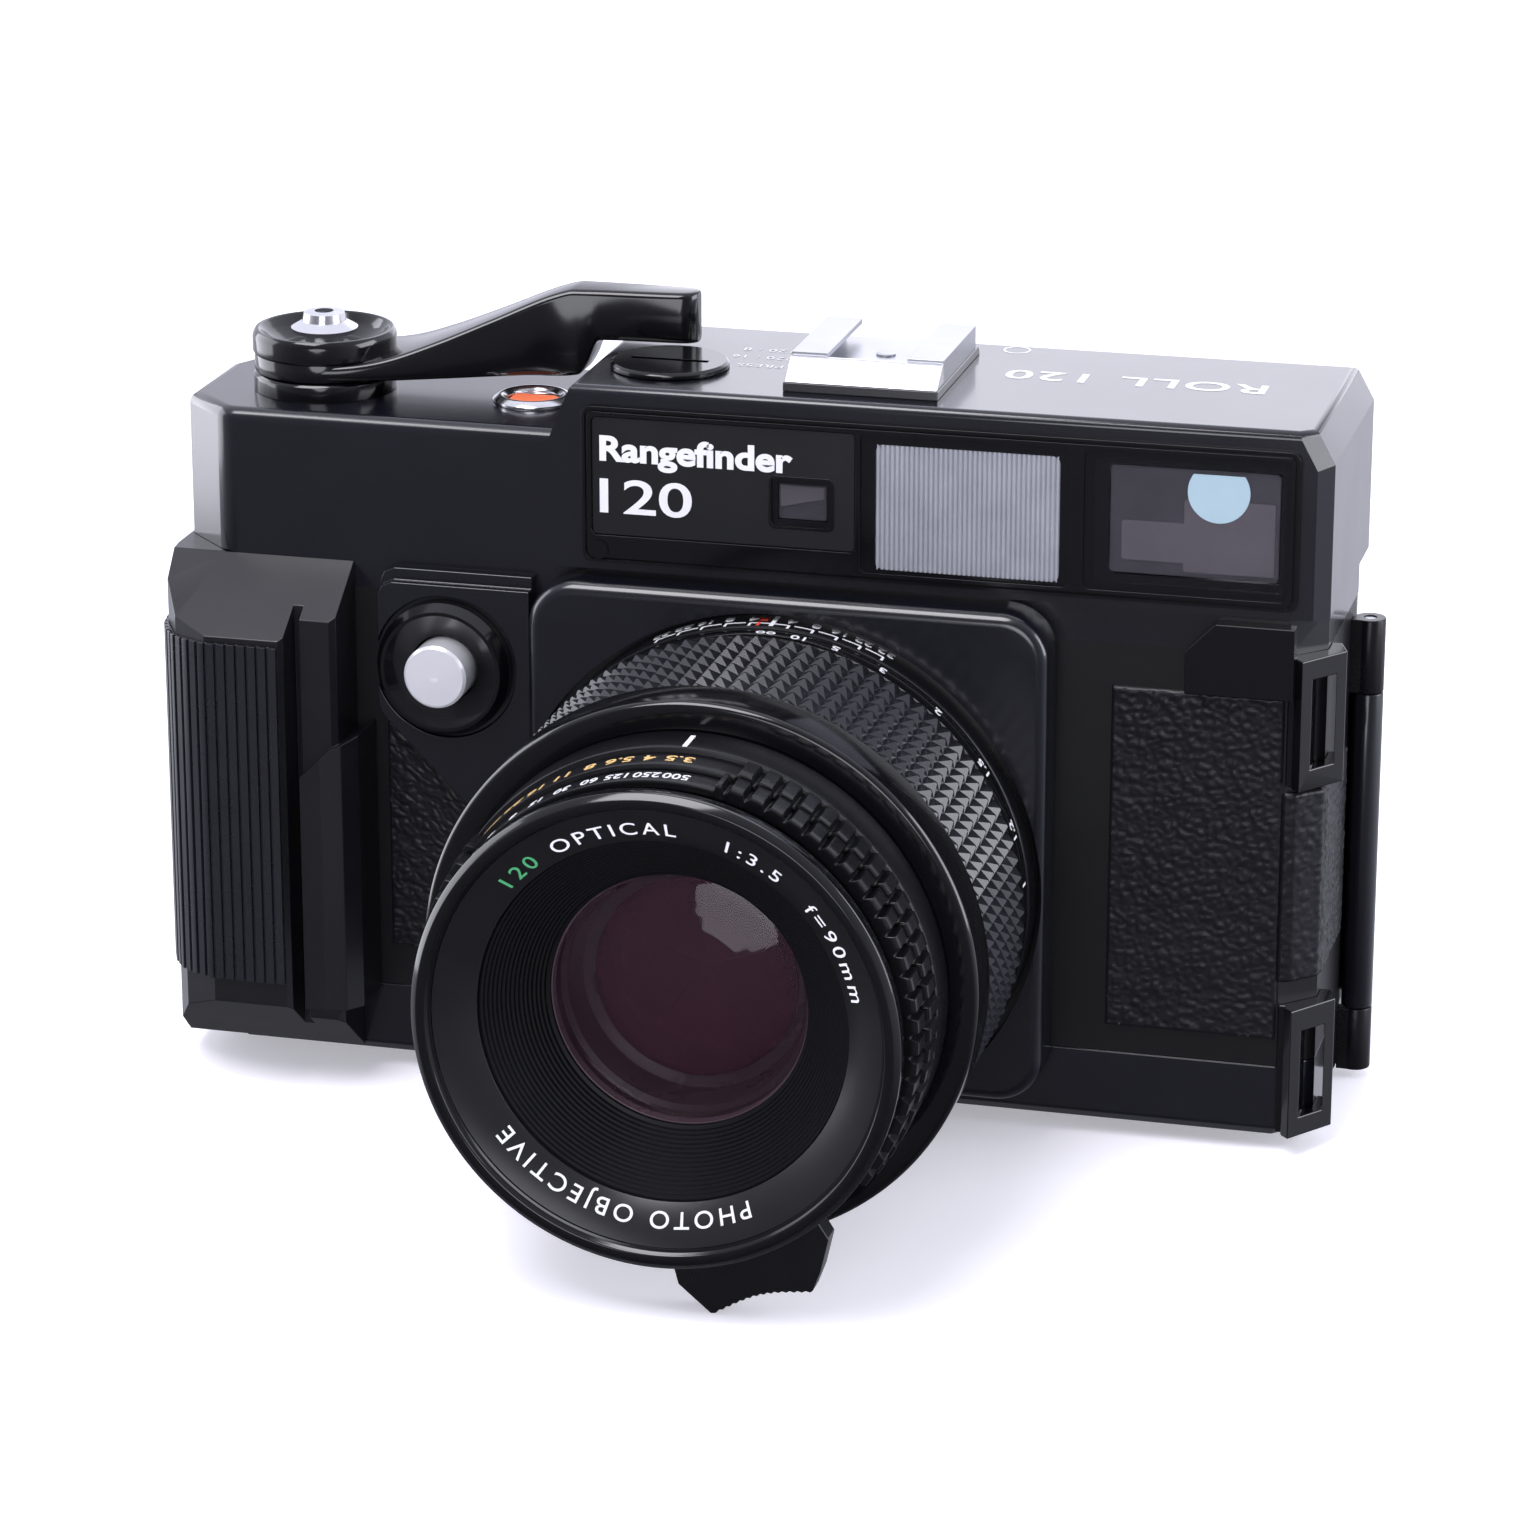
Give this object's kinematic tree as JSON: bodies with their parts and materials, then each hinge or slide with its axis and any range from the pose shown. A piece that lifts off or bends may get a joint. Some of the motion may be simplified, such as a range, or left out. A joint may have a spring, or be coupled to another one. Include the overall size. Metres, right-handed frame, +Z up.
{
  "type": "medium format rangefinder camera",
  "caption": "Fixed-lens roll-film rangefinder camera with hand grip, folding back door, focusing lens, advance lever and flash shoe.",
  "frame": {"origin": "centre of the tripod socket's mouth in the base, below the lens axis", "axes": "+X along the body from the hand grip to the finder end, +Y from the lens to the back door, +Z up; the lens looks along -Y"},
  "size_m": [0.2004, 0.1258, 0.1376],
  "materials": {
    "body_casting": "matt black enamel on die-cast aluminium",
    "cover_black": "satin black moulded cover",
    "grip_plastic": "fine-grained black plastic",
    "pad_rubber": "ribbed black rubber",
    "leatherette": "pebbled black leatherette",
    "lug_metal": "satin black metal",
    "lens_metal": "black anodised aluminium",
    "lever_black": "gloss black enamel",
    "bright_metal": "satin chrome",
    "steel": "plain steel",
    "coated_glass": "coated lens glass",
    "window_glass": "clear and frosted window glass",
    "spool_plastic": "moulded black plastic"
  },
  "bodies": {
    "camera_body": {"body_shell": "body_casting", "film_gate": "body_casting", "bottom_cover": "cover_black", "top_cover": "cover_black", "window_bezel": "cover_black", "front_windows": "window_glass", "lens_standard": "cover_black", "release_plate": "cover_black", "grip": "grip_plastic", "grip_pad": "pad_rubber", "leatherette_front": "leatherette", "strap_lugs": "lug_metal", "hinge_knuckles": "lug_metal", "hinge_pin": "steel", "depth_ring": "lens_metal", "lever_collar": "cover_black", "counter_window": "bright_metal", "hot_shoe": "bright_metal", "eyepiece_frame": "lever_black", "eyepiece_glass": "window_glass", "beam_splitter": "window_glass", "film_rollers": "steel", "tripod_bush": "steel", "casing_screws": "steel"},
    "back_door": {"back_door": "cover_black", "leatherette_back": "leatherette", "pressure_springs": "steel"},
    "pressure_plate": {"pressure_plate": "steel"},
    "door_latch": {"door_latch": "cover_black"},
    "focus_ring": {"focus_ring": "lens_metal", "focus_grip": "pad_rubber"},
    "lens_unit": {"lens_barrel": "lens_metal", "front_ring": "lens_metal", "name_ring": "lens_metal", "ridged_cone": "lens_metal", "front_glass": "coated_glass", "inner_glasses": "coated_glass", "glass_cells": "lens_metal", "shutter_case": "lens_metal", "shutter_leaves": "steel"},
    "aperture_ring": {"aperture_ring": "lens_metal"},
    "speed_ring": {"speed_ring": "lens_metal"},
    "advance_lever": {"advance_lever": "lever_black", "lever_cap": "bright_metal", "lever_shaft": "steel"},
    "shutter_button": {"shutter_button": "bright_metal"},
    "release_lock_ring": {"release_lock_ring": "lever_black"},
    "front_release_button": {"front_release_button": "bright_metal"},
    "film_selector_dial": {"film_selector_dial": "lever_black"},
    "counter_disc": {"counter_disc": "spool_plastic"},
    "takeup_spool": {"takeup_spool": "spool_plastic"},
    "supply_spool": {"supply_spool": "spool_plastic"},
    "takeup_knob": {"takeup_knob": "steel"},
    "supply_knob": {"supply_knob": "steel"},
    "rangefinder_arm": {"rangefinder_arm": "spool_plastic"},
    "iris_blade_1": {"iris_blade_1": "steel"},
    "iris_blade_2": {"iris_blade_2": "steel"},
    "iris_blade_3": {"iris_blade_3": "steel"},
    "iris_blade_4": {"iris_blade_4": "steel"},
    "iris_blade_5": {"iris_blade_5": "steel"}
  },
  "joints": [
    {"name": "door_hinge", "type": "hinge", "parent": "camera_body", "child": "back_door", "pos_m": [0.0913, 0.015, 0.04], "axis": [0, 0, -1], "range_deg": [0, 110]},
    {"name": "pressure_plate_slide", "type": "slide", "parent": "back_door", "child": "pressure_plate", "axis": [0, 1, 0], "range_m": [0, 0.0012], "stiffness_N_per_m": 300, "springref_m": -0.0015},
    {"name": "door_latch_slide", "type": "slide", "parent": "camera_body", "child": "door_latch", "axis": [0, 0, 1], "range_m": [0, 0.005]},
    {"name": "focus_turn", "type": "hinge", "parent": "camera_body", "child": "focus_ring", "pos_m": [0, -0.05, 0.041], "axis": [0, 1, 0], "range_deg": [0, 120]},
    {"name": "lens_slide", "type": "slide", "parent": "camera_body", "child": "lens_unit", "axis": [0, -1, 0], "range_m": [0, 0.009]},
    {"name": "aperture_turn", "type": "hinge", "parent": "lens_unit", "child": "aperture_ring", "pos_m": [0, -0.084, 0.041], "axis": [0, 1, 0], "range_deg": [0, 56]},
    {"name": "speed_turn", "type": "hinge", "parent": "lens_unit", "child": "speed_ring", "pos_m": [0, -0.09, 0.041], "axis": [0, 1, 0], "range_deg": [0, 90]},
    {"name": "iris_turn_1", "type": "hinge", "parent": "lens_unit", "child": "iris_blade_1", "pos_m": [0.00105, -0.0662, 0.05857], "axis": [0, 1, 0], "range_deg": [0, 30]},
    {"name": "iris_turn_2", "type": "hinge", "parent": "lens_unit", "child": "iris_blade_2", "pos_m": [0.01704, -0.065, 0.04543], "axis": [0, 1, 0], "range_deg": [0, 30]},
    {"name": "iris_turn_3", "type": "hinge", "parent": "lens_unit", "child": "iris_blade_3", "pos_m": [0.00947, -0.0638, 0.02617], "axis": [0, 1, 0], "range_deg": [0, 30]},
    {"name": "iris_turn_4", "type": "hinge", "parent": "lens_unit", "child": "iris_blade_4", "pos_m": [-0.01118, -0.0626, 0.02741], "axis": [0, 1, 0], "range_deg": [0, 30]},
    {"name": "iris_turn_5", "type": "hinge", "parent": "lens_unit", "child": "iris_blade_5", "pos_m": [-0.01638, -0.0614, 0.04743], "axis": [0, 1, 0], "range_deg": [0, 30]},
    {"name": "lever_turn", "type": "hinge", "parent": "camera_body", "child": "advance_lever", "pos_m": [-0.084, 0, 0.116], "axis": [0, 0, 1], "range_deg": [0, 150]},
    {"name": "takeup_turn", "type": "hinge", "parent": "camera_body", "child": "takeup_spool", "pos_m": [-0.084, 0, 0.05], "axis": [0, 0, 1], "range_deg": [0, 350]},
    {"name": "supply_turn", "type": "hinge", "parent": "camera_body", "child": "supply_spool", "pos_m": [0.07, 0, 0.05], "axis": [0, 0, 1], "range_deg": [0, 180]},
    {"name": "counter_turn", "type": "hinge", "parent": "camera_body", "child": "counter_disc", "pos_m": [-0.0474, -0.0008, 0.108], "axis": [0, 0, 1], "range_deg": [0, 16]},
    {"name": "shutter_button_press", "type": "slide", "parent": "camera_body", "child": "shutter_button", "axis": [0, 0, -1], "range_m": [0, 0.0024], "stiffness_N_per_m": 500, "springref_m": -0.001},
    {"name": "lock_ring_turn", "type": "hinge", "parent": "camera_body", "child": "release_lock_ring", "pos_m": [-0.0568, -0.022, 0.0713], "axis": [0, 1, 0], "range_deg": [0, 40]},
    {"name": "front_release_press", "type": "slide", "parent": "camera_body", "child": "front_release_button", "axis": [0, 1, 0], "range_m": [0, 0.0022], "stiffness_N_per_m": 500, "springref_m": -0.001},
    {"name": "film_dial_turn", "type": "hinge", "parent": "camera_body", "child": "film_selector_dial", "pos_m": [-0.0225, -0.0055, 0.12], "axis": [0, 0, 1], "range_deg": [-40, 40]},
    {"name": "takeup_knob_pull", "type": "slide", "parent": "camera_body", "child": "takeup_knob", "axis": [0, 0, -1], "range_m": [0, 0.008]},
    {"name": "supply_knob_pull", "type": "slide", "parent": "camera_body", "child": "supply_knob", "axis": [0, 0, -1], "range_m": [0, 0.008]},
    {"name": "rangefinder_turn", "type": "hinge", "parent": "camera_body", "child": "rangefinder_arm", "pos_m": [0.024, -0.003, 0.0965], "axis": [0, 0, 1], "range_deg": [0, 4]}
  ],
  "couplings": [
    {"joint": "lens_slide", "follows": "focus_turn", "m_per_rad": 0.00382},
    {"joint": "rangefinder_turn", "follows": "focus_turn", "ratio": 0.03},
    {"joint": "iris_turn_1", "follows": "aperture_turn", "ratio": 0.5},
    {"joint": "iris_turn_2", "follows": "aperture_turn", "ratio": 0.5},
    {"joint": "iris_turn_3", "follows": "aperture_turn", "ratio": 0.5},
    {"joint": "iris_turn_4", "follows": "aperture_turn", "ratio": 0.5},
    {"joint": "iris_turn_5", "follows": "aperture_turn", "ratio": 0.5},
    {"joint": "takeup_turn", "follows": "lever_turn", "ratio": 2.3},
    {"joint": "supply_turn", "follows": "lever_turn", "ratio": 1.15},
    {"joint": "counter_turn", "follows": "lever_turn", "ratio": 0.1}
  ]
}
